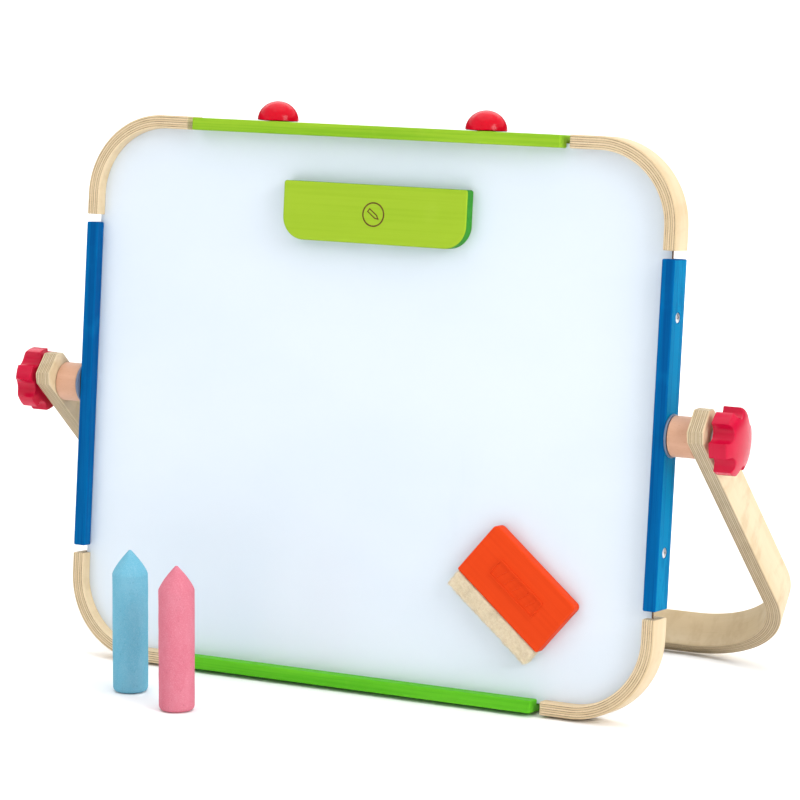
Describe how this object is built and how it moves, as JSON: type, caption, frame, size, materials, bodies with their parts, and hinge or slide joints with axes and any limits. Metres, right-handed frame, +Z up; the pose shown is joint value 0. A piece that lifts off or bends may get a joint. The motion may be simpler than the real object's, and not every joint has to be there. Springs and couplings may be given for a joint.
{
  "type": "kids easel",
  "caption": "Tabletop two-sided children's easel: magnetic panel in a colourful wooden frame with a tilting bent-ply stand, clip, eraser and chalk.",
  "frame": {"origin": "on the table, at the middle of the bounding box's footprint", "axes": "+X along the board's width to the viewer's right, +Y back from the whiteboard to the stand, +Z up; the whiteboard faces -Y"},
  "size_m": [0.4868, 0.306, 0.3512],
  "materials": {
    "birch_ply": "clear lacquered birch plywood",
    "green_paint": "satin paint on wood",
    "blue_paint": "satin paint on wood",
    "hardboard": "raw",
    "white_enamel": "gloss white dry-wipe",
    "chalkboard": "matt black",
    "red_paint": "gloss paint on wood",
    "red_plastic": "gloss",
    "beech": "bare turned beech",
    "grey_plastic": "satin",
    "zinc_steel": "zinc plated",
    "brass": "turned",
    "lime_paint": "satin paint on wood",
    "ferrite": "dark grey",
    "orange_paint": "satin paint on wood",
    "felt": "pressed wool felt",
    "chalk_blue_mix": "powdery",
    "chalk_pink_mix": "powdery"
  },
  "bodies": {
    "board": {"panel_core": "hardboard", "whiteboard_sheet": "white_enamel", "chalkboard_sheet": "chalkboard", "corner_arc_upper_left": "birch_ply", "corner_arc_upper_right": "birch_ply", "corner_arc_lower_left": "birch_ply", "corner_arc_lower_right": "birch_ply", "top_rail": "green_paint", "bottom_rail": "green_paint", "left_rail": "blue_paint", "right_rail": "blue_paint", "rail_screw_left_upper": "zinc_steel", "rail_screw_left_lower": "zinc_steel", "rail_screw_right_upper": "zinc_steel", "rail_screw_right_lower": "zinc_steel", "dome_left": "red_paint", "dome_right": "red_paint", "pivot_insert_left": "brass", "pivot_insert_right": "brass", "pivot_washer_left": "grey_plastic", "pivot_washer_right": "grey_plastic", "spacer_left": "beech", "spacer_right": "beech", "pivot_bolt_left": "zinc_steel", "pivot_bolt_right": "zinc_steel", "knob_washer_left": "zinc_steel", "knob_washer_right": "zinc_steel"},
    "stand": {"stand_bow": "birch_ply"},
    "knob_left": {"knob_left": "red_plastic"},
    "knob_right": {"knob_right": "red_plastic"},
    "clip": {"clip_plate": "lime_paint", "clip_magnet_left": "ferrite", "clip_magnet_right": "ferrite"},
    "eraser": {"eraser_block": "orange_paint", "eraser_felt": "felt", "eraser_magnet_left": "ferrite", "eraser_magnet_right": "ferrite"},
    "chalk_blue": {"chalk_blue": "chalk_blue_mix"},
    "chalk_pink": {"chalk_pink": "chalk_pink_mix"}
  },
  "joints": [
    {"name": "stand_fold", "type": "hinge", "parent": "board", "child": "stand", "pos_m": [0, -0.03284, 0.17016], "axis": [1, 0, 0], "range_deg": [-53, 127]},
    {"name": "knob_left_turn", "type": "hinge", "parent": "board", "child": "knob_left", "pos_m": [-0.234, -0.03284, 0.17016], "axis": [-1, 0, 0], "continuous": true},
    {"name": "knob_right_turn", "type": "hinge", "parent": "board", "child": "knob_right", "pos_m": [0.234, -0.03284, 0.17016], "axis": [1, 0, 0], "continuous": true},
    {"name": "clip_slide", "type": "slide", "parent": "board", "child": "clip", "axis": [0, 0.0915, 0.9958], "range_m": [-0.12, 0.012]},
    {"name": "eraser_slide", "type": "slide", "parent": "board", "child": "eraser", "axis": [1, 0, 0], "range_m": [-0.22, 0.03]},
    {"name": "chalk_blue_lift", "type": "slide", "parent": "board", "child": "chalk_blue", "axis": [0, 0, 1], "range_m": [0, 0.12]},
    {"name": "chalk_pink_lift", "type": "slide", "parent": "board", "child": "chalk_pink", "axis": [0, 0, 1], "range_m": [0, 0.12]}
  ]
}
